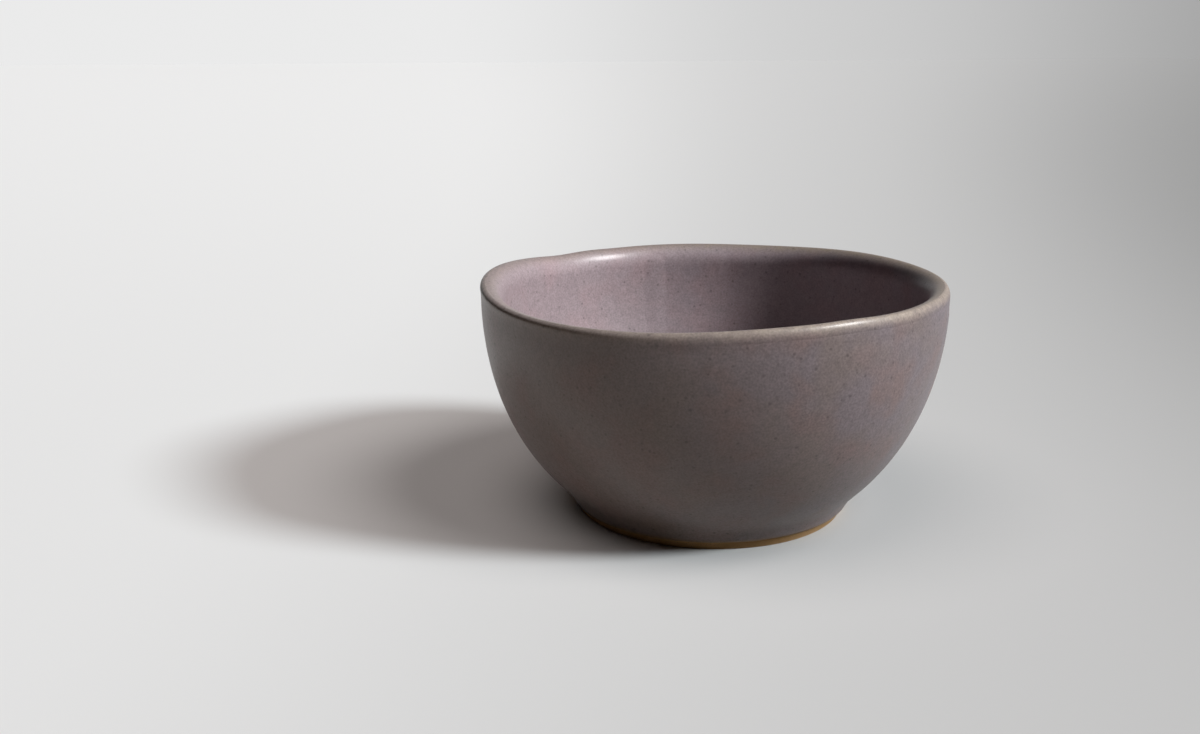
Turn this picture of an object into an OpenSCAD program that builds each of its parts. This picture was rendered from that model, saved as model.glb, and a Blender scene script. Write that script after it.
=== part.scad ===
// Wheel-thrown stoneware bowl with a gently uneven lip, a trimmed foot ring and a satin glaze.
// Millimetres, +Z up. The origin is on the table, on the axis of the foot.
// Angles around the bowl are measured from +X towards +Y.

/* [Overall] */
// Outside diameter just under the lip, over the glaze
rim_d = 139.4; // [125:0.2:160]
// Height of the lip's crest above the table, before the lip waves
bowl_h = 70.4; // [60:0.1:85]

/* [Wall] */
// Distance from the outside of the wall in to the lip's crest
lip_out = 1.8; // [1:0.1:3]
// Height of the crest above the upright wall outside
lip_rise = 3.4; // [1.2:0.1:5]
// Distance from the lip's crest in to the inside of the wall
lip_in = 4.9; // [4:0.1:7]
// Depth below the crest at which its rounding meets the inside of the wall
lip_fall = 6.5; // [4:0.1:9]
// Angle at which the wall leaves the foot, from the table
belly_angle = 43; // [30:1:55]
// Reach of that angle before the wall bends up
belly_low = 8; // [2:0.5:12]
// Depth below the lip over which the wall stays upright
belly_high = 37; // [30:0.5:45]
// How much sooner the inside draws in than the outside, which thickens the lower wall
belly_fill = 4; // [4:0.5:12]

/* [Base] */
// Thickness of the base over the recess, over the inside glaze
base_t = 5.5; // [4:0.5:8]
// Distance from the crease in to the flat of the inside floor
floor_in = 20; // [14:1:28]
// Distance from the crease out to where the inside floor line meets the inside wall line
heel_out = 5; // [2:0.5:7]

/* [Foot] */
// Diameter of the foot on the table
foot_d = 82; // [74:1:86]
// Diameter at the crease between foot and wall, over the glaze
crease_d = 91.5; // [88:0.5:100]
// Height of the foot
foot_h = 7.5; // [5:0.5:10]
// Width of the flat face that the foot stands on
stand_w = 4.5; // [3:0.5:9]
// Width of the foot ring where it joins the base, under the glaze
root_w = 11.1; // [8:0.1:14]
// Bevel on the two edges that the foot stands on
edge_break = 0.5; // [0.2:0.1:0.9]

/* [Glaze] */
// Thickness of the glaze
coat_t = 0.35; // [0.2:0.05:0.6]
// Height of the bare clay band round the foot
bare_h = 2; // [1:0.1:3]
// Height over which the glaze thins out to the bare band
coat_fade = 0.8; // [0.4:0.1:1.5]
// Thickness of the glaze at its lower edge
coat_edge_t = 0.1; // [0.05:0.01:0.15]
// Height of the bare clay band inside the recess
recess_bare_h = 2.4; // [1:0.1:3.5]

/* [Lip waves] */
// Rise of the lip's tilt, one wave around
tilt_rise = 0.75; // [0:0.05:1.2]
// Direction of the tilt's high side
tilt_at = 37; // [-180:1:180]
// Rise of the lip's saddle, two waves around
saddle_rise = 0.65; // [0:0.05:1.2]
// Direction of a high side of the saddle
saddle_at = -22; // [-90:1:90]
// Rise of three waves around
three_rise = 0.7; // [0:0.05:1]
// Direction of a crest of the three waves
three_at = 51; // [-60:1:60]
// Rise of four waves around
four_rise = 0.21; // [0:0.01:0.6]
// Direction of a crest of the four waves
four_at = 4; // [-45:1:45]
// Rise of five waves around
five_rise = 0.26; // [0:0.01:0.5]
// Direction of a crest of the five waves
five_at = 26; // [-36:1:36]
// Rise of six waves around
six_rise = 0.18; // [0:0.01:0.4]
// Direction of a crest of the six waves
six_at = -11; // [-30:1:30]
// Swell of the lip's plan in six soft lobes
lobe_swell = 0.4; // [0:0.05:0.8]
// Direction of a lobe
lobe_at = 1; // [-30:1:30]
// Stretch of the lip's plan into an oval
oval_swell = 0.15; // [0:0.05:0.6]
// Direction of the oval's long axis
oval_at = -64; // [-90:1:90]
// Directions of two small rises that fingers left on the lip
mark_at = [129, 302]; // [0:1:360]
// Direction of the small dip beside the first rise
dip_at = 141; // [0:1:360]
// Height of each rise and depth of the dip
mark_rise = 0.23; // [0:0.01:0.5]
// Spread of each rise and of the dip, in degrees
mark_spread = 6.5; // [4:0.5:12]

/* [Hidden] */

// Fineness of the lofts: points around, steps up each wall, steps over the lip outside and in
around = 72;
wall_steps = 10;
lip_out_steps = 4;
lip_in_steps = 5;
$fn = 96;

rim_r = rim_d / 2;
crease_r = crease_d / 2;
foot_r = foot_d / 2;
recess_r = foot_r - stand_w - 2 * edge_break;
crest_r = rim_r - lip_out;
shoulder_z = bowl_h - lip_rise;
floor_z = foot_h + base_t;
clay_crease_r = crease_r - coat_t;
roof_r = clay_crease_r - root_w;

// A loft's facets stand round the true circle, so they clear the turned foot inside them
facet_out = 1 / cos(180 / around);

// Each wall is one cubic curve of [radius, height], with the clay on its left
outer_curve = [
    [crease_r, foot_h],
    [crease_r + belly_low * cos(belly_angle), foot_h + belly_low * sin(belly_angle)],
    [rim_r, shoulder_z - belly_high],
    [rim_r, shoulder_z]
];
inner_curve = [
    [crest_r - lip_in, bowl_h - lip_fall],
    [crest_r - lip_in, shoulder_z - belly_high + belly_fill],
    [crease_r + heel_out, floor_z],
    [crease_r - floor_in, floor_z]
];

function on_curve(c, s) =
    pow(1 - s, 3) * c[0] + 3 * s * pow(1 - s, 2) * c[1] + 3 * s * s * (1 - s) * c[2] + pow(s, 3) * c[3];

function along_curve(c, s) =
    pow(1 - s, 2) * (c[1] - c[0]) + 2 * s * (1 - s) * (c[2] - c[1]) + s * s * (c[3] - c[2]);

// A point of the curve, sunk into the wall by depth
function sunk(c, s, depth) =
    let (v = along_curve(c, s))
    on_curve(c, s) - depth * [v.y, -v.x] / norm(v);

// Share of the lip waves that reaches a point: none at the foot and floor, all at the lip
function ease(u) = u * u * (3 - 2 * u);

// Stretches of the profile as [radius, height, share], sunk below the glaze's surface by depth
function outer_wall(depth) = [
    for (i = [1 : wall_steps])
        let (s = i / wall_steps, p = sunk(outer_curve, s, depth))
        [p.x, p.y, ease(s)]
];
function inner_wall(depth) = [
    for (i = [0 : wall_steps])
        let (s = i / wall_steps, p = sunk(inner_curve, s, depth))
        [p.x, p.y, ease(1 - s)]
];
function outer_lip(depth) = [
    for (i = [1 : lip_out_steps - 1])
        let (a = 90 * i / lip_out_steps)
        [crest_r + (lip_out - depth) * cos(a), shoulder_z + (lip_rise - depth) * sin(a), 1]
];
function crest(depth) = [[crest_r, bowl_h - depth, 1]];
function inner_lip(depth) = [
    for (i = [1 : lip_in_steps - 1])
        let (a = 90 * i / lip_in_steps)
        [crest_r - (lip_in - depth) * sin(a), bowl_h - lip_fall + (lip_fall - depth) * cos(a), 1]
];
function reversed(list) = [for (i = [len(list) - 1 : -1 : 0]) list[i]];

// Radius of the turned foot's flank and of its recess at a height
function flank_r(z) = foot_r + (clay_crease_r - foot_r) * z / foot_h;
function recess_wall_r(z) = recess_r + (roof_r - recess_r) * z / foot_h;

// Strength at angle a of a finger mark made at another angle
function mark(a, at) = exp(-pow(((a - at + 540) % 360 - 180) / mark_spread, 2));

// How far the lip stands above or outside its plain circle at angle a
function lip_lift(a) =
    tilt_rise * cos(a - tilt_at)
    + saddle_rise * cos(2 * (a - saddle_at))
    + three_rise * cos(3 * (a - three_at))
    + four_rise * cos(4 * (a - four_at))
    + five_rise * cos(5 * (a - five_at))
    + six_rise * cos(6 * (a - six_at))
    + mark_rise * (mark(a, mark_at[0]) + mark(a, mark_at[1]) - mark(a, dip_at));
function lip_swell(a) =
    lobe_swell * cos(6 * (a - lobe_at)) + oval_swell * cos(2 * (a - oval_at));

// Carries a profile around the axis with the lip waves in it.
// An open profile is closed by a flat cap at each end, a looped one joins its own start.
module wavy_loft(profile, looped) {
    rows = len(profile);
    points = [
        for (p = profile)
            for (k = [0 : around - 1])
                let (a = 360 * k / around, r = facet_out * (p[0] + p[2] * lip_swell(a)))
                [r * cos(a), r * sin(a), p[1] + p[2] * lip_lift(a)]
    ];
    sides = [
        for (row = [0 : rows - (looped ? 1 : 2)])
            for (k = [0 : around - 1])
                let (
                    near = row * around,
                    far = (row + 1) % rows * around,
                    next = (k + 1) % around
                )
                each [
                    [near + k, far + k, far + next],
                    [near + k, far + next, near + next]
                ]
    ];
    first_cap = [for (k = [0 : around - 1]) k];
    last_cap = [for (k = [around - 1 : -1 : 0]) (rows - 1) * around + k];
    polyhedron(points, looped ? sides : concat(sides, [first_cap, last_cap]));
}

// Thrown wall and base, from the crease over the lip to the floor inside
module clay_body() {
    color("peru")
        wavy_loft(
            concat(
                [[clay_crease_r, foot_h, 0]],
                outer_wall(coat_t),
                outer_lip(coat_t),
                crest(coat_t),
                inner_lip(coat_t),
                inner_wall(coat_t)
            ),
            looped = false
        );
}

// Trimmed ring that the bowl stands on, flat below and tapering outside and in
module foot_ring() {
    color("sandybrown")
        rotate_extrude()
            polygon([
                [recess_r + edge_break, 0],
                [foot_r - edge_break, 0],
                [flank_r(edge_break), edge_break],
                [clay_crease_r, foot_h],
                [roof_r, foot_h],
                [recess_wall_r(edge_break), edge_break]
            ]);
}

// Glaze on the outside, from the bare band round the foot up to the lip's crest
module outer_glaze() {
    color("rosybrown")
        wavy_loft(
            concat(
                [
                    [flank_r(bare_h), bare_h, 0],
                    [flank_r(bare_h) + coat_edge_t, bare_h, 0],
                    [flank_r(bare_h + coat_fade) + coat_t, bare_h + coat_fade, 0],
                    [crease_r, foot_h, 0]
                ],
                outer_wall(0),
                outer_lip(0),
                crest(0),
                crest(coat_t),
                reversed(outer_lip(coat_t)),
                reversed(outer_wall(coat_t)),
                [[clay_crease_r, foot_h, 0]]
            ),
            looped = true
        );
}

// Glaze on the inside, from the lip's crest down over the floor
module inner_glaze() {
    color("thistle")
        wavy_loft(
            concat(
                reversed(inner_wall(coat_t)),
                reversed(inner_lip(coat_t)),
                crest(coat_t),
                crest(0),
                inner_lip(0),
                inner_wall(0)
            ),
            looped = false
        );
}

// Glaze in the recess under the base, down to the bare band inside the ring
module base_glaze() {
    color("rosybrown")
        rotate_extrude()
            polygon([
                [0, foot_h],
                [0, foot_h - coat_t],
                [roof_r - coat_t, foot_h - coat_t],
                [recess_wall_r(recess_bare_h) - coat_edge_t, recess_bare_h],
                [recess_wall_r(recess_bare_h), recess_bare_h],
                [roof_r, foot_h]
            ]);
}

clay_body();
foot_ring();
outer_glaze();
inner_glaze();
base_glaze();
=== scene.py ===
import math

import bpy
import numpy as np
from mathutils import Matrix, Vector


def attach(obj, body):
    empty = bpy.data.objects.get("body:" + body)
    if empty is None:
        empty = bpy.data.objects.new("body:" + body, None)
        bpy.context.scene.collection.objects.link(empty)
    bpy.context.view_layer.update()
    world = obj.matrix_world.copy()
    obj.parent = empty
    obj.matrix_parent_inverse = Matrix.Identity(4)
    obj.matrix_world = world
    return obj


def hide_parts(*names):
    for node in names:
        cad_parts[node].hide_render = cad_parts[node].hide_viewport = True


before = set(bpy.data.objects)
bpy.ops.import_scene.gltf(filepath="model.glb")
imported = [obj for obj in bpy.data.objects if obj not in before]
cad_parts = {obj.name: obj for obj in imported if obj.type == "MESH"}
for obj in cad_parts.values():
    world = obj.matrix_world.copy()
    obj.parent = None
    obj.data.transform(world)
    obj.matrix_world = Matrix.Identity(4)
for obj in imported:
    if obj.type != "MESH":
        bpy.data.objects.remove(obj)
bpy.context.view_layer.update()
scene = bpy.context.scene
scene.view_settings.view_transform = "Standard"
mm = 0.001  # forms are written in millimetres, the scene is in metres
print("frame loaded:", ", ".join(sorted(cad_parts)))


# Camera, where the photograph was taken from

shot = {
    "place": (0, -359.7, 138.5),  # mm
    "yaw": -5.43,  # degrees, looks a little to the left of the bowl
    "down": 14.92,
    "roll": -0.4,
    "lens": 36,
    "sensor": 36,
    "clip": 0.01,  # metres
}

camera = bpy.data.objects.new("tableCamera", bpy.data.cameras.new("tableCamera"))
camera.data.lens, camera.data.sensor_width = shot["lens"], shot["sensor"]
camera.data.clip_start = shot["clip"]
camera.matrix_world = (
    Matrix.Translation(Vector(shot["place"]) * mm)
    @ Matrix.Rotation(math.radians(-shot["yaw"]), 4, "Z")
    @ Matrix.Rotation(math.radians(90 - shot["down"]), 4, "X")
    @ Matrix.Rotation(math.radians(shot["roll"]), 4, "Z")
)
scene.collection.objects.link(camera)
scene.camera = camera
print("camera at", shot["place"])


# Small helpers

def hexLinear(code):  # sRGB hex to the linear colour that shaders take
    parts = [int(code[i : i + 2], 16) / 255 for i in (1, 3, 5)]
    return [c / 12.92 if c <= 0.04045 else ((c + 0.055) / 1.055) ** 2.4 for c in parts] + [1]


def perMetre(size):  # texture scale for a pattern of this many millimetres
    return 1 / (size * mm)


def addNode(tree, kind, settings={}, links={}):
    node = tree.nodes.new(kind)
    for key, value in settings.items():
        if isinstance(key, int) or key in node.inputs:
            node.inputs[key].default_value = value
        else:
            setattr(node, key, value)
    for key, (source, output) in links.items():
        tree.links.new(source.outputs[output], node.inputs[key])
    return node


def ease(u):
    u = np.clip(u, 0, 1)
    return u * u * (3 - 2 * u)


def onCurve(handles, s):
    a, b, c, d = (np.array(h, float) for h in handles)
    s = np.asarray(s, float)[:, None]
    return (1 - s) ** 3 * a + 3 * s * (1 - s) ** 2 * b + 3 * s * s * (1 - s) * c + s**3 * d


def turnedApart(angle, at):  # degrees from one direction to another, -180 to 180
    return (angle - at + 180) % 360 - 180


# The thrown form, shared by the clay and by the coats on it, in mm and degrees

form = {
    "rimRadius": 69.7,
    "height": 70.4,
    "lipOut": 1.8,  # outside wall in to the crest
    "lipRise": 3.4,
    "lipIn": 4.9,  # crest in to the inside wall
    "lipFall": 6.5,  # crest down to where its rounding meets that wall
    "bellyAngle": 43,
    "bellyLow": 8,
    "bellyHigh": 37,
    "bellyFill": 4,
    "baseThick": 5.5,
    "floorIn": 20,
    "heelOut": 5,
    "creaseRadius": 45.75,
    "creaseRound": 2.2,  # the glaze softens the crease over this reach
    "footRadius": 41,
    "footHeight": 7.5,
    "rootWidth": 11.1,
    "standWidth": 4.5,
    "edgeBreak": 0.3,
    "coat": 0.35,
    "wallSteps": 44,
    "lipSteps": 12,
    "floorSteps": 7,
    "sharpFrom": 40,  # harder edges are shaded sharp
}

lipWaves = {  # waves around, rise in mm, direction of a crest in degrees
    "lift": [(1, 0.75, 37), (2, 0.65, -22), (3, 0.7, 51), (4, 0.21, 4), (5, 0.26, 26), (6, 0.18, -11)],
    "swell": [(6, 0.4, 1), (2, 0.15, -64)],
    "fingerRises": [129, 302],
    "fingerDip": 141,
    "fingerHeight": 0.23,
    "fingerSpread": 6.5,
}

handMarks = {
    "grooveBelow": 5.2,  # hollow under the lip outside, mm from the crest along the skin
    "grooveSpread": 1.8,
    "grooveShallow": 0.04,
    "grooveDeep": 0.3,
    "grooveAt": 325,
    "pulls": [(129, 0.1), (108.5, 0.28), (84, 0.16), (70, 0.18), (52, 0.08), (31, 0.06), (4, 0.07), (-27, 0.05),
              (-52, 0.08), (-81, 0.06), (-104, 0.09), (-133, 0.06), (-158, 0.07), (174, 0.06), (153, 0.08)],
    "pullSpread": 5,  # degrees, upright hollows that fingers drew inside
    "pullRound": 1.2,
    "pullFrom": 1,
    "pullTo": 46,
    "pullFade": 7,
    "shoulderAt": 205,  # the lip is squarer outside on this side
    "shoulderSpread": 45,
    "shoulderBelow": 1.5,
    "shoulderReach": 1.2,
    "shoulderFill": 0.75,
    "ringPitch": 7.4,  # throwing rings, hardly there
    "ringHeight": 0.012,
    "ringFrom": 8,
    "ringFade": 10,
}


def waveSum(waves, angle):
    return sum(rise * np.cos(np.radians(count * (angle - at))) for count, rise, at in waves)


def lipLift(angle):
    def finger(at):
        return np.exp(-((turnedApart(angle, at) / lipWaves["fingerSpread"]) ** 2))

    fingers = sum(finger(at) for at in lipWaves["fingerRises"]) - finger(lipWaves["fingerDip"])
    return waveSum(lipWaves["lift"], angle) + lipWaves["fingerHeight"] * fingers


def markDepth(angle, reach):  # how far hand marks push the skin out, in mm
    below = np.abs(reach)
    deep = handMarks["grooveDeep"] - handMarks["grooveShallow"]
    turned = 0.5 + 0.5 * np.cos(np.radians(angle - handMarks["grooveAt"]))
    groove = (handMarks["grooveShallow"] + deep * turned) * np.exp(
        -(((below - handMarks["grooveBelow"]) / handMarks["grooveSpread"]) ** 2)
    )
    shoulder = handMarks["shoulderFill"] * np.exp(
        -((turnedApart(angle, handMarks["shoulderAt"]) / handMarks["shoulderSpread"]) ** 2)
        - ((below - handMarks["shoulderBelow"]) / handMarks["shoulderReach"]) ** 2
    )
    soft = handMarks["pullRound"]
    pulls = sum(
        depth * np.exp((soft - np.hypot(turnedApart(angle, at), soft)) / handMarks["pullSpread"])
        for at, depth in handMarks["pulls"]
    )
    pulls = pulls * ease((below - handMarks["pullFrom"]) / handMarks["pullFade"])
    pulls = pulls * ease((handMarks["pullTo"] - below) / handMarks["pullFade"])
    rings = handMarks["ringHeight"] * np.sin(2 * np.pi * below / handMarks["ringPitch"] + np.radians(angle))
    rings = rings * ease((below - handMarks["ringFrom"]) / handMarks["ringFade"])
    return np.where(reach < 0, shoulder - groove, -pulls) + rings


def flankRadius(z):  # the trimmed foot's outside, under the glaze
    spread = form["creaseRadius"] - form["coat"] - form["footRadius"]
    return form["footRadius"] + spread * z / form["footHeight"]


def recessRadius(z):  # the foot's inside
    low = form["footRadius"] - form["standWidth"] - 2 * form["edgeBreak"]
    roof = form["creaseRadius"] - form["coat"] - form["rootWidth"]
    return low + (roof - low) * z / form["footHeight"]


def skinRows():  # glaze surface from the crease over the lip to the floor
    crestRadius = form["rimRadius"] - form["lipOut"]
    shoulder = form["height"] - form["lipRise"]
    floor = form["footHeight"] + form["baseThick"]
    slope = math.radians(form["bellyAngle"])
    outside = [
        (form["creaseRadius"], form["footHeight"]),
        (
            form["creaseRadius"] + form["bellyLow"] * math.cos(slope),
            form["footHeight"] + form["bellyLow"] * math.sin(slope),
        ),
        (form["rimRadius"], shoulder - form["bellyHigh"]),
        (form["rimRadius"], shoulder),
    ]
    inside = [
        (crestRadius - form["lipIn"], form["height"] - form["lipFall"]),
        (crestRadius - form["lipIn"], shoulder - form["bellyHigh"] + form["bellyFill"]),
        (form["creaseRadius"] + form["heelOut"], floor),
        (form["creaseRadius"] - form["floorIn"], floor),
    ]
    start = form["creaseRound"] / (3 * form["bellyLow"])  # where the curve is creaseRound away from the crease
    up = np.linspace(start, 1, form["wallSteps"])
    over = np.radians(np.linspace(0, 90, form["lipSteps"] + 1)[1:])
    inward = np.radians(np.linspace(90, 180, form["lipSteps"] + 1)[1:-1])
    down = np.linspace(0, 1, form["wallSteps"])
    flat = np.linspace(form["creaseRadius"] - form["floorIn"], 0, form["floorSteps"])[1:]
    rows = np.vstack([  # radius, height, share of the lip's waves
        np.c_[onCurve(outside, up), ease(up)],
        np.c_[
            crestRadius + form["lipOut"] * np.cos(over),
            shoulder + form["lipRise"] * np.sin(over),
            over * 0 + 1,
        ],
        np.c_[
            crestRadius + form["lipIn"] * np.cos(inward),
            form["height"] - form["lipFall"] * (1 - np.sin(inward)),
            inward * 0 + 1,
        ],
        np.c_[onCurve(inside, down), ease(1 - down)],
        np.c_[flat, flat * 0 + floor, flat * 0],
    ])
    steps = np.r_[0, np.cumsum(np.hypot(*np.diff(rows[:, :2], axis=0).T))]
    crest = len(up) + len(over) - 1
    return np.c_[rows, steps - steps[crest]], crest  # the last column is the reach from the crest


def sunk(rows, depth):  # the same rows, set into the wall
    along = np.gradient(rows[:, :2], axis=0)
    along /= np.hypot(*along.T)[:, None]
    moved = rows.copy()
    moved[:, 0] -= depth * along[:, 1]
    moved[:, 1] += depth * along[:, 0]
    moved[rows[:, 0] == 0, 0] = 0
    return moved


offSkin = -1000  # reach of a row that has no hand marks


def footRow(radius, height, edgeShare=0):  # a row that no lip wave reaches
    return [radius, height, 0, offSkin, edgeShare]


def wholeRows(rows):  # skin rows, which the uneven glaze line doesn't move
    return np.c_[rows, np.zeros(len(rows))]


# Pieces: each is one closed surface of rows carried around the axis

glazeLine = {  # uneven lower edge that a sponge left: waves around, height in mm, direction
    "waves": [(1, 0.35, 300), (2, 0.12, 290), (5, 0.07, 12), (9, 0.04, 77), (17, 0.025, 5)],
}

bowlPieces = []


def roundPiece(name, rows, around, node, material):
    rows = np.array(rows, float)
    angle = np.arange(around) * 360 / around
    radius, height, share, reach, edge = (rows[:, i : i + 1] for i in range(5))
    along = np.gradient(rows[:, :2], axis=0)
    along /= np.maximum(np.hypot(*along.T)[:, None], 1e-9)  # no division by zero
    out = np.where(reach > offSkin, markDepth(angle, reach), 0)
    wave = edge * waveSum(glazeLine["waves"], angle)
    lean = (flankRadius(1) - flankRadius(0)) * wave
    r = np.maximum(radius + share * waveSum(lipWaves["swell"], angle) + out * along[:, 1:] + lean, 0)
    z = height + share * lipLift(angle) - out * along[:, :1] + wave
    x, y = r * np.cos(np.radians(angle)), r * np.sin(np.radians(angle))
    points, ring, faces = [], [], []
    for i in range(len(rows)):
        pole = rows[i, 0] == 0
        first = len(points)
        ring.append([first] * around if pole else list(range(first, first + around)))
        points += [(0, 0, height[i, 0])] if pole else list(zip(x[i], y[i], z[i]))
    looped = rows[0, 0] > 0
    for i in range(len(rows) if looped else len(rows) - 1):
        low, high = ring[i], ring[(i + 1) % len(rows)]
        for k in range(around):
            n = (k + 1) % around
            corners = [low[k], low[n], high[n], high[k]]
            faces.append(list(dict.fromkeys(corners)))
    mesh = bpy.data.meshes.new(name)
    mesh.from_pydata([Vector(p) * mm for p in points], [], faces)
    mesh.polygons.foreach_set("use_smooth", [True] * len(faces))
    mesh.set_sharp_from_angle(angle=math.radians(form["sharpFrom"]))
    mesh.materials.append(material)
    piece = bpy.data.objects.new(name, mesh)
    scene.collection.objects.link(piece)
    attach(piece, "root")
    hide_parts(node)
    bowlPieces.append(piece)
    print(name, "has", len(faces), "faces")
    return piece, ring


def nameWeights(piece, ring, name, weights):  # one number for each row, for the material to read
    values = np.zeros(len(piece.data.vertices), np.float32)
    for vertices, weight in zip(ring, weights):
        values[vertices] = weight
    piece.data.attributes.new(name, "FLOAT", "POINT").data.foreach_set("value", values)


# Bare stoneware, turned and fired: dry ochre with fine grit, darker where the sponge left slip

bareClay = {
    "light": "#dcb98c",
    "dark": "#b8925f",
    "grit": "#86683f",
    "patch": 6,  # mm
    "gritSize": 0.5,
    "gritEdge": (0.6, 0.72),  # noise values over which a grain of grit shows
    "gritShare": 0.55,
    "gritRelief": 0.4,  # of the relief, the turning lines have the rest
    "roughness": 0.85,
    "ior": 1.5,
    "turning": 2.83,  # mm between turning lines, coarser than a real tool's so that they show
    "turningWander": 1.5,
    "turningDepth": 0.012,
}


def bareStoneware():
    material = bpy.data.materials.new("bareStoneware")
    material.use_nodes = True
    tree = material.node_tree
    tree.nodes.clear()
    look = bareClay
    place = addNode(tree, "ShaderNodeTexCoord")
    at = {"Vector": (place, "Object")}
    patch = addNode(tree, "ShaderNodeTexNoise", {"Scale": perMetre(look["patch"]), "Detail": 4}, at)
    grit = addNode(tree, "ShaderNodeTexNoise", {"Scale": perMetre(look["gritSize"]), "Detail": 2}, at)
    tint = addNode(
        tree,
        "ShaderNodeMix",
        {"data_type": "RGBA", 6: hexLinear(look["light"]), 7: hexLinear(look["dark"])},
        {0: (patch, 0)},
    )
    gritFrom, gritTo = look["gritEdge"]
    dots = addNode(
        tree,
        "ShaderNodeMapRange",
        {"From Min": gritFrom, "From Max": gritTo, "To Max": look["gritShare"]},
        {"Value": (grit, 0)},
    )
    gritty = addNode(
        tree,
        "ShaderNodeMix",
        {"data_type": "RGBA", 7: hexLinear(look["grit"])},
        {0: (dots, 0), 6: (tint, 2)},
    )
    lines = addNode(
        tree,
        "ShaderNodeTexWave",
        {
            "wave_type": "BANDS",
            "bands_direction": "Z",
            "Scale": 2 * math.pi / 20 * perMetre(look["turning"]),  # the node's bands lie 2 pi / 20 apart
            "Distortion": look["turningWander"],
            "Detail": 1,
        },
        at,
    )
    relief = addNode(
        tree,
        "ShaderNodeMix",
        {"data_type": "FLOAT", 0: look["gritRelief"]},
        {2: (lines, "Fac"), 3: (grit, 0)},
    )
    bump = addNode(
        tree,
        "ShaderNodeBump",
        {"Distance": look["turningDepth"] * mm, "Strength": 1},
        {"Height": (relief, 0)},
    )
    shader = addNode(
        tree,
        "ShaderNodeBsdfPrincipled",
        {"Roughness": look["roughness"], "IOR": look["ior"]},
        {"Base Color": (gritty, 2), "Normal": (bump, 0)},
    )
    addNode(tree, "ShaderNodeOutputMaterial", {}, {"Surface": (shader, 0)})
    return material


# Satin stoneware glaze, dipped and fired: clouded taupe and lilac with dark iron specks, tan where it
# thins on the lip, a broad soft sheen with small highlights; painted shade deeper in the bowl, a painted tint
# across it

outerCoat = {
    "name": "taupeSatinGlaze",
    "body": "#7d7170",
    "lilac": "#7d7378",
    "rose": "#817070",
    "lip": "#9d9085",
    "edge": "#8c7053",
    "poolAndShade": "#7b706e",
    "speck": "#2b2220",
    "lightTintAcross": [(-60, 0), (30, 1)],  # mm across: more tan on the lip and more lilac to the right, a painted tint of light and shade; the outside is browner on its shaded left
    "lipLeft": 0.25,  # share of that tan at the left
    "cloud": 19,  # mm, soft colour patches
    "cloudEdge": (0.36, 0.58),  # noise values over which a patch sets in
    "drift": 13,
    "driftEdge": (0.48, 0.68),
    "mottle": 2.2,
    "mottleShare": 0.07,
    "lipBreak": (0.7, 1.1),  # the tan on the lip comes and goes with the mottle
    "grain": 0.6,  # mm, a little coarser than the real grain so that it shows
    "grainShare": 0.17,
    "specks": [(4.4, 0.8, 0.8, 0.5), (1.9, 1, 0.62, 0.42)],  # mm apart, share, largest radius, strength
    "speckSoft": 0.6,  # share of that radius over which a speck fades
    "ior": 1.5,
    "roughness": 0.6,  # the glassy body is cloudy, so its sheen is broad
    "sheenShift": 0.03,
    "skinShare": 0.42,  # smoother fired skin over it, for the small highlights on the lip
    "skinRoughness": 0.27,
    "peel": 1.6,  # mm, faint unevenness of the fired surface
    "peelDepth": 0.006,
}

innerCoat = dict(
    outerCoat,
    name="lilacSatinGlaze",
    body="#9b8c90",
    lilac="#9a8d93",
    rose="#9e8b8f",
    # tan where the glaze thins on the lip, set darker than the body: partly painted shade for the back of the
    # lip, which turns from the lamp
    lip="#85796d",
    # darker deeper in the bowl: partly thicker glaze, partly painted shade
    poolAndShade="#6a5f61",
    lipLeft=0.5,
    grainShare=0.14,
    specks=[(4.4, 0.8, 0.7, 0.42), (1.9, 1, 0.6, 0.36)],
)

noiseSpan = {"From Min": 0.3, "From Max": 0.7}  # where a noise node's values mostly lie


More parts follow.
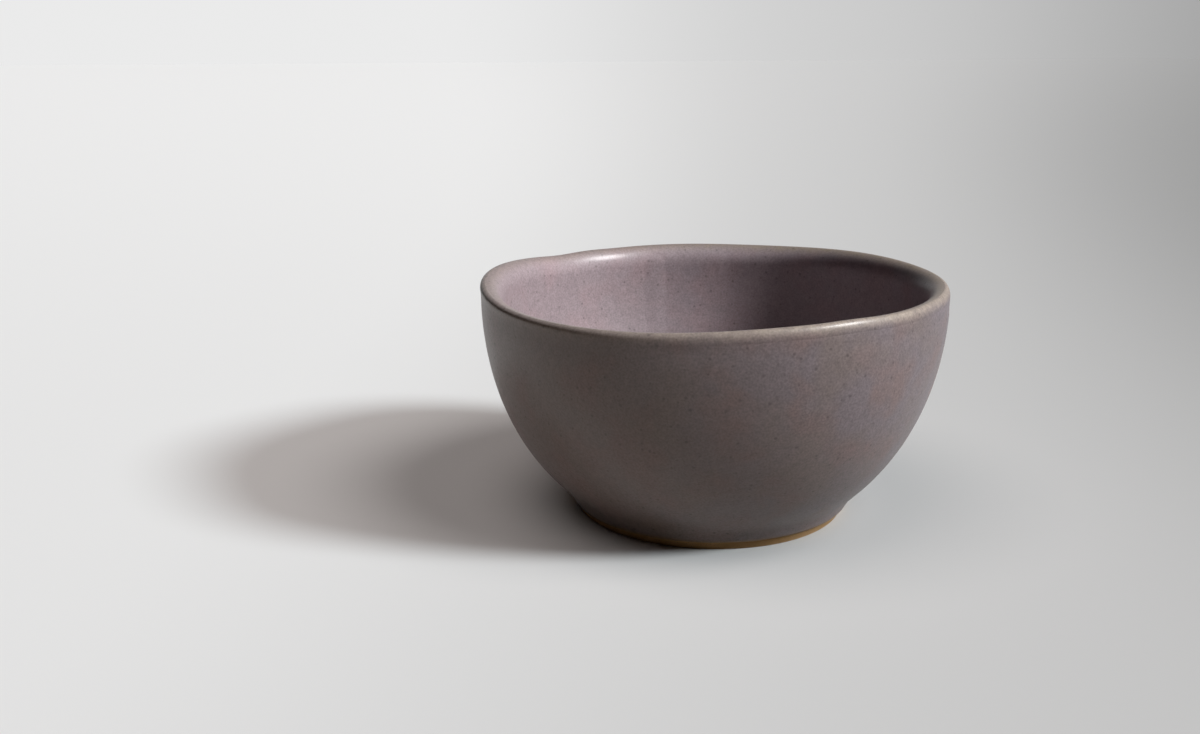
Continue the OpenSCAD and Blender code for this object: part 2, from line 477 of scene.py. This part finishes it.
def satinGlaze(look):
    material = bpy.data.materials.new(look["name"])
    material.use_nodes = True
    tree = material.node_tree
    tree.nodes.clear()
    place = addNode(tree, "ShaderNodeTexCoord")
    at = {"Vector": (place, "Object")}
    cloud = addNode(tree, "ShaderNodeTexNoise", {"Scale": perMetre(look["cloud"]), "Detail": 2}, at)
    drift = addNode(tree, "ShaderNodeTexNoise", {"Scale": perMetre(look["drift"]), "Detail": 2}, at)
    mottle = addNode(tree, "ShaderNodeTexNoise", {"Scale": perMetre(look["mottle"]), "Detail": 3}, at)
    grain = addNode(tree, "ShaderNodeTexNoise", {"Scale": perMetre(look["grain"]), "Detail": 1}, at)
    split = addNode(tree, "ShaderNodeSeparateXYZ", {}, {0: (place, "Object")})
    # painted tint of light and shade across the bowl, from left to right
    (sideFrom, shareFrom), (sideTo, shareTo) = look["lightTintAcross"]
    tintAcross = addNode(
        tree,
        "ShaderNodeMapRange",
        {"From Min": sideFrom * mm, "From Max": sideTo * mm, "To Min": shareFrom, "To Max": shareTo},
        {"Value": (split, "X")},
    )
    low, high = look["cloudEdge"]
    clouded = addNode(tree, "ShaderNodeMapRange", {"From Min": low, "From Max": high}, {"Value": (cloud, 0)})
    toLilac = addNode(tree, "ShaderNodeMath", {"operation": "MULTIPLY"}, {0: (clouded, 0), 1: (tintAcross, 0)})
    low, high = look["driftEdge"]
    toRose = addNode(tree, "ShaderNodeMapRange", {"From Min": low, "From Max": high}, {"Value": (drift, 0)})
    lilac = addNode(
        tree,
        "ShaderNodeMix",
        {"data_type": "RGBA", 6: hexLinear(look["body"]), 7: hexLinear(look["lilac"])},
        {0: (toLilac, 0)},
    )
    rose = addNode(
        tree,
        "ShaderNodeMix",
        {"data_type": "RGBA", 7: hexLinear(look["rose"])},
        {0: (toRose, 0), 6: (lilac, 2)},
    )
    lipThin = addNode(tree, "ShaderNodeAttribute", {"attribute_name": "lipThin"})
    low, high = look["lipBreak"]
    lipBreak = addNode(
        tree, "ShaderNodeMapRange", {**noiseSpan, "To Min": low, "To Max": high}, {"Value": (mottle, 0)}
    )
    lipSide = addNode(tree, "ShaderNodeMapRange", {"To Min": look["lipLeft"]}, {"Value": (tintAcross, 0)})
    lipTan = addNode(tree, "ShaderNodeMath", {"operation": "MULTIPLY"}, {0: (lipBreak, 0), 1: (lipSide, 0)})
    lipShare = addNode(
        tree,
        "ShaderNodeMath",
        {"operation": "MULTIPLY", "use_clamp": True},
        {0: (lipThin, "Fac"), 1: (lipTan, 0)},
    )
    tan = addNode(
        tree,
        "ShaderNodeMix",
        {"data_type": "RGBA", 7: hexLinear(look["lip"])},
        {0: (lipShare, 0), 6: (rose, 2)},
    )
    footThin = addNode(tree, "ShaderNodeAttribute", {"attribute_name": "footThin"})
    edged = addNode(
        tree,
        "ShaderNodeMix",
        {"data_type": "RGBA", 7: hexLinear(look["edge"])},
        {0: (footThin, "Fac"), 6: (tan, 2)},
    )
    # darker deeper in the bowl: partly glaze that pools thicker, partly painted shade
    wellPoolAndShade = addNode(tree, "ShaderNodeAttribute", {"attribute_name": "wellPoolAndShade"})
    poolShaded = addNode(
        tree,
        "ShaderNodeMix",
        {"data_type": "RGBA", 7: hexLinear(look["poolAndShade"])},
        {0: (wellPoolAndShade, "Fac"), 6: (edged, 2)},
    )
    grainy = addNode(
        tree,
        "ShaderNodeMapRange",
        {**noiseSpan, "To Min": 1 - look["grainShare"], "To Max": 1 + look["grainShare"]},
        {"Value": (grain, 0)},
    )
    mottled = addNode(
        tree,
        "ShaderNodeMapRange",
        {**noiseSpan, "To Min": 1 - look["mottleShare"], "To Max": 1 + look["mottleShare"]},
        {"Value": (mottle, 0)},
    )
    shade = addNode(tree, "ShaderNodeMath", {"operation": "MULTIPLY"}, {0: (grainy, 0), 1: (mottled, 0)})
    shaded = addNode(
        tree, "ShaderNodeVectorMath", {"operation": "SCALE"}, {0: (poolShaded, 2), "Scale": (shade, 0)}
    )
    colour, colourOut = shaded, 0
    for apart, share, radius, strength in look["specks"]:
        cells = addNode(tree, "ShaderNodeTexVoronoi", {"Scale": perMetre(apart)}, at)
        draw = addNode(tree, "ShaderNodeSeparateColor", {}, {"Color": (cells, "Color")})
        size = addNode(
            tree,
            "ShaderNodeMapRange",
            {"From Min": 1 - share, "From Max": 1, "To Max": radius / apart},
            {"Value": (draw, 0)},
        )
        within = addNode(
            tree, "ShaderNodeMath", {"operation": "SUBTRACT"}, {0: (size, 0), 1: (cells, "Distance")}
        )
        speck = addNode(
            tree,
            "ShaderNodeMapRange",
            {"From Max": look["speckSoft"] * radius / apart, "To Max": strength},
            {"Value": (within, 0)},
        )
        colour = addNode(
            tree,
            "ShaderNodeMix",
            {"data_type": "RGBA", 7: hexLinear(look["speck"])},
            {0: (speck, 0), 6: (colour, colourOut)},
        )
        colourOut = 2
    sheen = addNode(
        tree,
        "ShaderNodeMapRange",
        {
            **noiseSpan,
            "To Min": look["roughness"] - look["sheenShift"],
            "To Max": look["roughness"] + look["sheenShift"],
        },
        {"Value": (drift, 0)},
    )
    peel = addNode(tree, "ShaderNodeTexNoise", {"Scale": perMetre(look["peel"]), "Detail": 2}, at)
    bump = addNode(
        tree,
        "ShaderNodeBump",
        {"Distance": look["peelDepth"] * mm, "Strength": 1},
        {"Height": (peel, 0)},
    )
    shader = addNode(
        tree,
        "ShaderNodeBsdfPrincipled",
        {"IOR": look["ior"], "Coat Weight": look["skinShare"], "Coat Roughness": look["skinRoughness"]},
        {"Base Color": (colour, colourOut), "Roughness": (sheen, 0), "Normal": (bump, 0)},
    )
    addNode(tree, "ShaderNodeOutputMaterial", {}, {"Surface": (shader, 0)})
    return material


clay = bareStoneware()
taupe = satinGlaze(outerCoat)
lilac = satinGlaze(innerCoat)
print("materials:", clay.name, taupe.name, lilac.name)


# Clay wall, all under the glaze

clayWall = {"around": 240, "underRows": 8}
skin, crestRow = skinRows()
claySkin = sunk(skin, form["coat"])
underTo = form["creaseRadius"] - form["coat"]
clayUnder = [footRow(r, form["footHeight"]) for r in np.linspace(0, underTo, clayWall["underRows"])]
clayRows = np.vstack([clayUnder, wholeRows(claySkin)])
roundPiece("thrownClayWall", clayRows, clayWall["around"], "clay_body", clay)

# Foot ring, bare where it stands

footTrim = {"around": 288, "standRows": 5, "edgeSteps": 4, "flankSteps": 10}
standIn = recessRadius(0) + form["edgeBreak"]
standOut = form["footRadius"] - form["edgeBreak"]
edgeBend = np.radians(np.linspace(0, 90, footTrim["edgeSteps"] + 1))
footRows = [footRow(r, 0) for r in np.linspace(standIn, standOut, footTrim["standRows"])[:-1]]
footRows += [
    footRow(
        standOut + (flankRadius(form["edgeBreak"]) - standOut) * math.sin(b),
        form["edgeBreak"] * (1 - math.cos(b)),
    )
    for b in edgeBend
]
flankHeights = np.linspace(form["edgeBreak"], form["footHeight"], footTrim["flankSteps"])
footRows += [footRow(flankRadius(z), z) for z in flankHeights[1:]]
footRows += [footRow(recessRadius(z), z) for z in flankHeights[::-1]]
footRows += [
    footRow(
        standIn - (standIn - recessRadius(form["edgeBreak"])) * math.cos(b),
        form["edgeBreak"] * (1 - math.sin(b)),
    )
    for b in edgeBend[1:-1]
]
roundPiece("trimmedFootRing", footRows, footTrim["around"], "foot_ring", clay)

# Outer glaze, from the wiped line on the foot up to the crest

outerSkin = {
    "around": 360,
    "bareHeight": 2.3,
    "fade": 0.8,  # height over which the coat thins to its edge
    "edgeSteps": [0, 0.04, 0.12, 0.25, 0.45, 0.7, 1],
    "edgeCalm": 0.5,  # share of the glaze line's waves that is gone where the coat is full
    "flankFrom": 3.6,  # height where the full coat starts
    "flankRows": 5,
    "flankWave": 0.2,
    "bendShare": 0.85,  # how far down the foot the crease is softened, against creaseRound
    "bendRows": 7,
    "backLow": 2.7,  # lowest row at the back of the coat, on the clay
    "backWave": 0.5,
    "tanFull": 0.8,  # mm from the crest
    "tanGone": 4,
    "brownGone": 1.8,  # mm above the glaze line
}
coat, crease, top = form["coat"], form["creaseRadius"], form["footHeight"]
lowRows = [
    footRow(
        flankRadius(outerSkin["bareHeight"] + q * outerSkin["fade"]) + coat * math.sqrt(1 - (1 - q) ** 2),
        outerSkin["bareHeight"] + q * outerSkin["fade"],
        1 - outerSkin["edgeCalm"] * q,
    )
    for q in outerSkin["edgeSteps"]
]
bendFrom = top - form["creaseRound"] * outerSkin["bendShare"]
coatHeights = np.linspace(outerSkin["flankFrom"], bendFrom, outerSkin["flankRows"])
lowRows += [footRow(flankRadius(z) + coat, z, outerSkin["flankWave"]) for z in coatHeights]
bendStart = np.array([flankRadius(bendFrom) + coat, bendFrom])
bendCorner = np.array([crease, top])
for q in np.linspace(0, 1, outerSkin["bendRows"])[1:-1]:
    bent = (1 - q) ** 2 * bendStart + 2 * q * (1 - q) * bendCorner + q * q * skin[0, :2]
    lowRows.append(footRow(bent[0], bent[1]))
backHeights = np.linspace(top, outerSkin["flankFrom"], outerSkin["flankRows"])
backRows = [footRow(flankRadius(z), z) for z in backHeights]
backRows.append(footRow(flankRadius(outerSkin["backLow"]), outerSkin["backLow"], outerSkin["backWave"]))
outerRows = np.vstack([
    lowRows,
    wholeRows(skin[: crestRow + 1]),
    wholeRows(claySkin[crestRow::-1]),
    backRows,
])
outerPiece, outerRing = roundPiece(
    "outerGlazeCoat", outerRows, outerSkin["around"], "outer_glaze", taupe
)
fromCrest = np.abs(outerRows[:, 3])
nameWeights(
    outerPiece,
    outerRing,
    "lipThin",
    ease((outerSkin["tanGone"] - fromCrest) / (outerSkin["tanGone"] - outerSkin["tanFull"])),
)
aboveLine = outerRows[:, 1] - outerSkin["bareHeight"]
nameWeights(outerPiece, outerRing, "footThin", ease(1 - aboveLine / outerSkin["brownGone"]))

# Inner glaze, from the crest down over the floor

innerSkin = {
    "around": 360,
    "tanFull": 1.2,
    "tanGone": 5.5,
    "poolAndShade": [(17, 1), (36, 0.4), (44, 0.2), (64, 0)],  # height and share of the darker colour deeper in the bowl: partly thicker glaze, partly painted shade
}
innerRows = wholeRows(np.vstack([claySkin[:crestRow - 1 : -1], skin[crestRow:]]))
innerPiece, innerRing = roundPiece(
    "innerGlazeCoat", innerRows, innerSkin["around"], "inner_glaze", lilac
)
fromCrest = np.abs(innerRows[:, 3])
nameWeights(
    innerPiece,
    innerRing,
    "lipThin",
    ease((innerSkin["tanGone"] - fromCrest) / (innerSkin["tanGone"] - innerSkin["tanFull"])),
)
nameWeights(innerPiece, innerRing, "wellPoolAndShade", np.interp(innerRows[:, 1], *zip(*innerSkin["poolAndShade"])))

# Glaze in the recess under the base

recessSkin = {
    "around": 240,
    "bareHeight": 2.4,
    "fade": 0.8,
    "edgeSteps": [1, 0.6, 0.3, 0.1, 0],
    "roofRows": 7,
    "corner": 1.4,  # rounding under the roof
    "cornerTurns": [22, 45, 68],  # degrees
    "sideRows": 3,
    "sideClear": 0.3,  # the full coat ends this far above the fade
    "backHeights": [4, 5.5],
    "backRows": 6,
}
roof = top - coat
cornerAt = recessRadius(top) - coat - recessSkin["corner"]
recessRows = [footRow(r, roof) for r in np.linspace(0, cornerAt, recessSkin["roofRows"])]
recessRows += [
    footRow(
        cornerAt + recessSkin["corner"] * math.sin(b),
        roof - recessSkin["corner"] * (1 - math.cos(b)),
    )
    for b in np.radians(recessSkin["cornerTurns"])
]
sideTo = recessSkin["bareHeight"] + recessSkin["fade"] + recessSkin["sideClear"]
recessRows += [
    footRow(recessRadius(z) - coat, z)
    for z in np.linspace(roof - recessSkin["corner"], sideTo, recessSkin["sideRows"])
]
recessRows += [
    footRow(
        recessRadius(recessSkin["bareHeight"] + q * recessSkin["fade"]) - coat * math.sqrt(1 - (1 - q) ** 2),
        recessSkin["bareHeight"] + q * recessSkin["fade"],
        1,
    )
    for q in recessSkin["edgeSteps"]
]
recessRows += [footRow(recessRadius(z), z) for z in (*recessSkin["backHeights"], top)]
recessRows += [footRow(r, top) for r in np.linspace(recessRadius(top), 0, recessSkin["backRows"])[1:]]
roundPiece("recessGlazeCoat", recessRows, recessSkin["around"], "base_glaze", taupe)
print("pieces done")


# Stage: pale table that runs to the horizon, light of a tall window, pale wall behind, painted shade towards
# the right

paleTones = {  # painted shade: the table and the wall grow darker to the right, as if the light fell off there
    "left": 0.82,
    "drops": [(-0.24, 0.12, 0.21), (0.06, 0.5, 0.3)],  # direction's X from and to, drop in tone
}


def toneAcross(tree, source, output):  # painted shade from a direction's X
    falls = [
        addNode(
            tree,
            "ShaderNodeMapRange",
            {"interpolation_type": "SMOOTHSTEP", "From Min": low, "From Max": high, "To Max": drop},
            {"Value": (source, output)},
        )
        for low, high, drop in paleTones["drops"]
    ]
    fallen = addNode(tree, "ShaderNodeMath", {"operation": "ADD"}, {0: (falls[0], 0), 1: (falls[1], 0)})
    return addNode(tree, "ShaderNodeMath", {"operation": "SUBTRACT", 0: paleTones["left"]}, {1: (fallen, 0)})


table = {
    "half": 12,  # metres
    "spread": 0.75,  # metres over which the tone changes near the bowl
    "farLift": 0.085,  # painted light: paler with distance
    "paint": "#ffffff",
    "seenByBowl": "#a29382",  # darker, so that the table throws less light up than it shows
    "bounce": [(-0.3, 1.15), (0.1, 0.6)],  # more of it from the front left than from the back right
}

tableMesh = bpy.data.meshes.new("paleTable")
tableCorners = [(x * table["half"], y * table["half"], 0) for x, y in ((-1, -1), (1, -1), (1, 1), (-1, 1))]
tableMesh.from_pydata(tableCorners, [], [(0, 1, 2, 3)])
tableTop = bpy.data.objects.new("paleTable", tableMesh)
scene.collection.objects.link(tableTop)

# Matt paint, rolled on: no gloss, so that only its tone and the shadow show
tablePaint = bpy.data.materials.new("paleTablePaint")
tablePaint.use_nodes = True
tree = tablePaint.node_tree
tree.nodes.clear()
place = addNode(tree, "ShaderNodeTexCoord")
apart = addNode(
    tree, "ShaderNodeVectorMath", {"operation": "ADD", 1: (0, 0, table["spread"])}, {0: (place, "Object")}
)
turned = addNode(tree, "ShaderNodeVectorMath", {"operation": "NORMALIZE"}, {0: (apart, 0)})
split = addNode(tree, "ShaderNodeSeparateXYZ", {}, {0: (turned, 0)})
tone = toneAcross(tree, split, "X")
path = addNode(tree, "ShaderNodeLightPath")
paint = addNode(
    tree,
    "ShaderNodeMix",
    {"data_type": "RGBA", 6: hexLinear(table["paint"]), 7: hexLinear(table["seenByBowl"])},
    {0: (path, "Is Diffuse Ray")},
)
side = addNode(tree, "ShaderNodeMath", {"operation": "ADD"}, {0: (split, "X"), 1: (split, "Y")})
(sideLow, shareLow), (sideHigh, shareHigh) = table["bounce"]
bounce = addNode(
    tree,
    "ShaderNodeMapRange",
    {"From Min": sideLow, "From Max": sideHigh, "To Min": shareLow, "To Max": shareHigh},
    {"Value": (side, 0)},
)
thrown = addNode(
    tree, "ShaderNodeMix", {"data_type": "FLOAT", 2: 1}, {0: (path, "Is Diffuse Ray"), 3: (bounce, 0)}
)
share = addNode(tree, "ShaderNodeMath", {"operation": "MULTIPLY"}, {0: (tone, 0), 1: (thrown, 0)})
toned = addNode(tree, "ShaderNodeVectorMath", {"operation": "SCALE"}, {0: (paint, 2), "Scale": (share, 0)})
far = addNode(
    tree, "ShaderNodeMath", {"operation": "MULTIPLY_ADD", 1: table["farLift"], 2: 1}, {0: (split, "Y")}
)
deep = addNode(tree, "ShaderNodeVectorMath", {"operation": "SCALE"}, {0: (toned, 0), "Scale": (far, 0)})
flatPaint = addNode(tree, "ShaderNodeBsdfDiffuse", {}, {"Color": (deep, 0)})
addNode(tree, "ShaderNodeOutputMaterial", {}, {"Surface": (flatPaint, 0)})
tableMesh.materials.append(tablePaint)


def wayTo(azimuth, height):  # direction from the bowl, in degrees
    turn, rise = math.radians(azimuth), math.radians(height)
    return Vector((math.cos(rise) * math.cos(turn), math.cos(rise) * math.sin(turn), math.sin(rise)))


lampDistance = 3  # metres, only places a sun lamp in the viewport
lamps = {  # degrees around and up, softness in degrees, strength
    "bowlWindow": {"azimuth": -13, "height": 43, "angle": 22, "level": 4.75, "tint": "#ffffff"},
    "bowlBack": {"azimuth": 105, "height": 3, "angle": 5, "level": 0.9, "tint": "#fff4ec", "gloss": False},
    "tableWindow": {"azimuth": -14.8, "height": 32, "angle": 12, "level": 2.86, "tint": "#f4fcff"},
    "tableWindowTop": {"azimuth": -20, "height": 54, "angle": 26, "level": 0.97, "tint": "#fff9f6"},
    "tableFill": {"azimuth": 220, "height": 72, "angle": 44, "level": 0.85, "tint": "#fff5f1"},
}
onTable = bpy.data.collections.new("lampsOnTable")
onTable.objects.link(tableTop)
onBowl = bpy.data.collections.new("lampsOnBowl")
for piece in bowlPieces:
    onBowl.objects.link(piece)
for name, lamp in lamps.items():
    light = bpy.data.objects.new(name, bpy.data.lights.new(name, "SUN"))
    light.data.energy, light.data.angle = lamp["level"], math.radians(lamp["angle"])
    light.data.color = hexLinear(lamp["tint"])[:3]
    way = wayTo(lamp["azimuth"], lamp["height"])
    light.rotation_euler = way.to_track_quat("Z", "Y").to_euler()
    light.location = way * lampDistance
    light.visible_glossy = lamp.get("gloss", True)  # the lamp behind puts no glint on the lip
    light.light_linking.receiver_collection = onBowl if name.startswith("bowl") else onTable
    scene.collection.objects.link(light)

room = {
    "wall": 1.01,  # the wall behind, against the table's tone
    "paint": "#ffffff",
    "fill": "#ffeee6",
    "fillBack": 0.036,  # light that the wall behind throws on the bowl
    "fillFront": 0.004,
    "behind": (-0.1, 0.6),  # direction's Y where the wall sets in and is full
    "wallLeft": (-0.8, -0.3),  # and its X, for what the glaze mirrors
    "wallFade": (0.1, 0.55),  # and its height, where the wall starts to fade and ends
}
world = bpy.data.worlds.new("paleRoom")
world.use_nodes = True
scene.world = world
tree = world.node_tree
tree.nodes.clear()
place = addNode(tree, "ShaderNodeTexCoord")
split = addNode(tree, "ShaderNodeSeparateXYZ", {}, {0: (place, "Generated")})
tone = toneAcross(tree, split, "X")
wallTone = addNode(tree, "ShaderNodeMath", {"operation": "MULTIPLY", 1: room["wall"]}, {0: (tone, 0)})
behind = addNode(
    tree,
    "ShaderNodeMapRange",
    {"interpolation_type": "SMOOTHSTEP", "From Min": room["behind"][0], "From Max": room["behind"][1]},
    {"Value": (split, "Y")},
)
fadeFrom, fadeTo = room["wallFade"]
low = addNode(
    tree,
    "ShaderNodeMapRange",
    {"interpolation_type": "SMOOTHSTEP", "From Min": fadeFrom, "From Max": fadeTo, "To Min": 1, "To Max": 0},
    {"Value": (split, "Z")},
)
ahead = addNode(tree, "ShaderNodeMath", {"operation": "MULTIPLY"}, {0: (behind, 0), 1: (low, 0)})
wallStart = addNode(
    tree,
    "ShaderNodeMapRange",
    {"interpolation_type": "SMOOTHSTEP", "From Min": room["wallLeft"][0], "From Max": room["wallLeft"][1]},
    {"Value": (split, "X")},
)
wallShare = addNode(tree, "ShaderNodeMath", {"operation": "MULTIPLY"}, {0: (ahead, 0), 1: (wallStart, 0)})
fill = addNode(
    tree,
    "ShaderNodeMapRange",
    {"To Min": room["fillFront"], "To Max": room["fillBack"]},
    {"Value": (wallShare, 0)},
)
path = addNode(tree, "ShaderNodeLightPath")
wallSeen = addNode(
    tree, "ShaderNodeMath", {"operation": "MAXIMUM"}, {0: (path, "Is Camera Ray"), 1: (wallShare, 0)}
)
wallLevel = addNode(tree, "ShaderNodeMath", {"operation": "MULTIPLY"}, {0: (wallTone, 0), 1: (wallSeen, 0)})
seen = addNode(
    tree, "ShaderNodeMath", {"operation": "MAXIMUM"}, {0: (path, "Is Camera Ray"), 1: (path, "Is Glossy Ray")}
)
seenThrough = addNode(
    tree, "ShaderNodeMath", {"operation": "MAXIMUM"}, {0: (seen, 0), 1: (path, "Is Transmission Ray")}
)
wall = addNode(tree, "ShaderNodeBackground", {"Color": hexLinear(room["paint"])}, {"Strength": (wallLevel, 0)})
glow = addNode(tree, "ShaderNodeBackground", {"Color": hexLinear(room["fill"])}, {"Strength": (fill, 0)})
either = addNode(tree, "ShaderNodeMixShader", {}, {0: (seenThrough, 0), 1: (glow, 0), 2: (wall, 0)})
addNode(tree, "ShaderNodeOutputWorld", {}, {"Surface": (either, 0)})
print("stage and light done")
